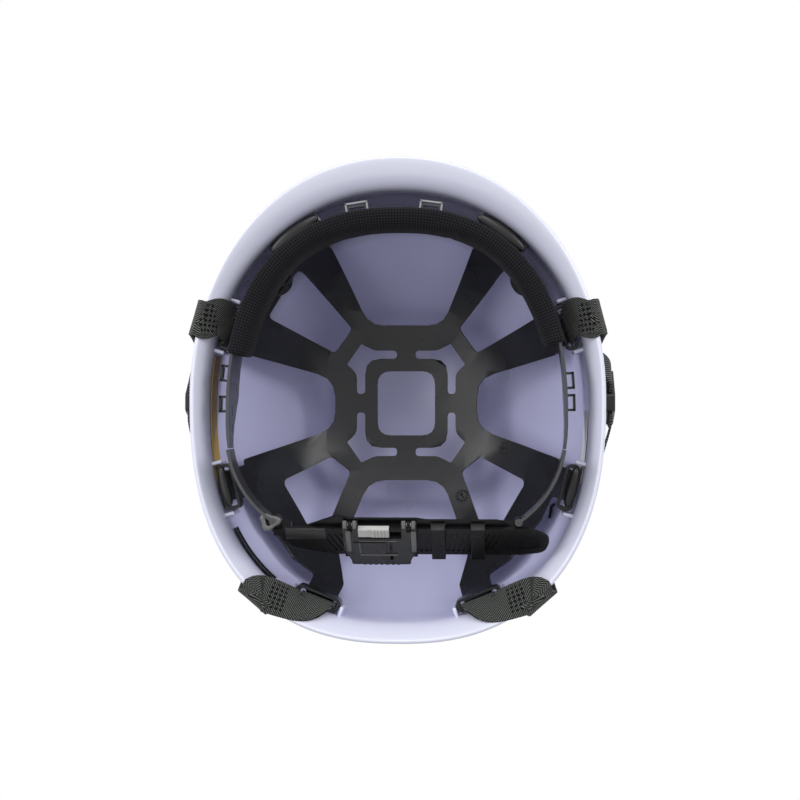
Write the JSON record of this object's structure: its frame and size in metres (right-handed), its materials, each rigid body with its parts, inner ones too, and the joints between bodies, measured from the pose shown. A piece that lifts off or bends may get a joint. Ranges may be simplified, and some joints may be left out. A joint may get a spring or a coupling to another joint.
{
  "type": "safety helmet",
  "caption": "Industrial safety helmet with short flared brim, moulded crown hammock, padded headband, nape adjuster with flip lock and webbing chin strap.",
  "frame": {"origin": "middle of the rim plane on the mid-plane, at the head opening", "axes": "+Z towards the crown, -Y towards the front, +X towards the side of the strap's free end"},
  "size_m": [0.2404, 0.2674, 0.1662],
  "materials": {
    "shell_paint": "glossy moulded",
    "black_plastic": "satin moulded",
    "grey_plastic": "satin moulded",
    "light_grey_plastic": "satin moulded",
    "pad_fabric": "fine knit over foam",
    "webbing": "herringbone weave",
    "steel": "plain"
  },
  "bodies": {
    "helmet": {"buckle_female": "black_plastic", "chin_adjuster": "black_plastic", "chin_strap_left": "webbing", "chin_strap_right": "webbing", "hammock": "black_plastic", "hanger_front_left": "black_plastic", "hanger_front_right": "black_plastic", "hanger_rear_left": "black_plastic", "hanger_rear_right": "black_plastic", "hanger_side_front_left": "black_plastic", "hanger_side_front_right": "black_plastic", "hanger_side_rear_left": "black_plastic", "hanger_side_rear_right": "black_plastic", "headband": "black_plastic", "shell": "shell_paint", "strap_junction_left": "black_plastic", "strap_junction_right": "black_plastic", "strap_leg_rear_left": "webbing", "strap_leg_rear_right": "webbing", "strap_leg_side_front_left": "webbing", "strap_leg_side_front_right": "webbing", "sweatband": "pad_fabric"},
    "tail_left": {"rear_band_left": "black_plastic"},
    "tail_right": {"rear_band_right": "black_plastic"},
    "strap": {"nape_strap": "grey_plastic"},
    "buckle": {"buckle_frame": "black_plastic", "strap_keeper_1": "grey_plastic", "strap_keeper_2": "grey_plastic", "cover_pin_left": "steel", "cover_pin_right": "steel"},
    "cover": {"lock_cover": "grey_plastic"},
    "button": {"lock_button": "light_grey_plastic"},
    "chin_male": {"buckle_male": "black_plastic"}
  },
  "joints": [
    {"name": "size_adjust", "type": "hinge", "parent": "helmet", "child": "tail_left", "pos_m": [-0.09133, 0.02674, 0], "axis": [0, 0, -1], "range_deg": [-15, 4]},
    {"name": "strap_hook", "type": "hinge", "parent": "tail_left", "child": "strap", "pos_m": [-0.0665, 0.066, 0], "axis": [0, 0, 1], "range_deg": [-15, 4]},
    {"name": "tail_right_bend", "type": "hinge", "parent": "helmet", "child": "tail_right", "pos_m": [0.09133, 0.02674, 0], "axis": [0, 0, 1], "range_deg": [-15, 4]},
    {"name": "buckle_bend", "type": "hinge", "parent": "tail_right", "child": "buckle", "pos_m": [0.0665, 0.066, 0], "axis": [0, 0, -1], "range_deg": [-15, 4]},
    {"name": "lock_cover_hinge", "type": "hinge", "parent": "buckle", "child": "cover", "pos_m": [-0.0085, 0.06714, -0.01475], "axis": [-1, 0, 0], "range_deg": [0, 95]},
    {"name": "lock_button_slide", "type": "slide", "parent": "buckle", "child": "button", "axis": [1, 0, 0], "range_m": [0, 0.0043]},
    {"name": "chin_buckle_release", "type": "slide", "parent": "helmet", "child": "chin_male", "axis": [-0.765, 0, 0.644], "range_m": [0, 0.012]}
  ],
  "couplings": [
    {"joint": "strap_hook", "follows": "size_adjust", "ratio": 1},
    {"joint": "tail_right_bend", "follows": "size_adjust", "ratio": 1},
    {"joint": "buckle_bend", "follows": "size_adjust", "ratio": 1}
  ]
}
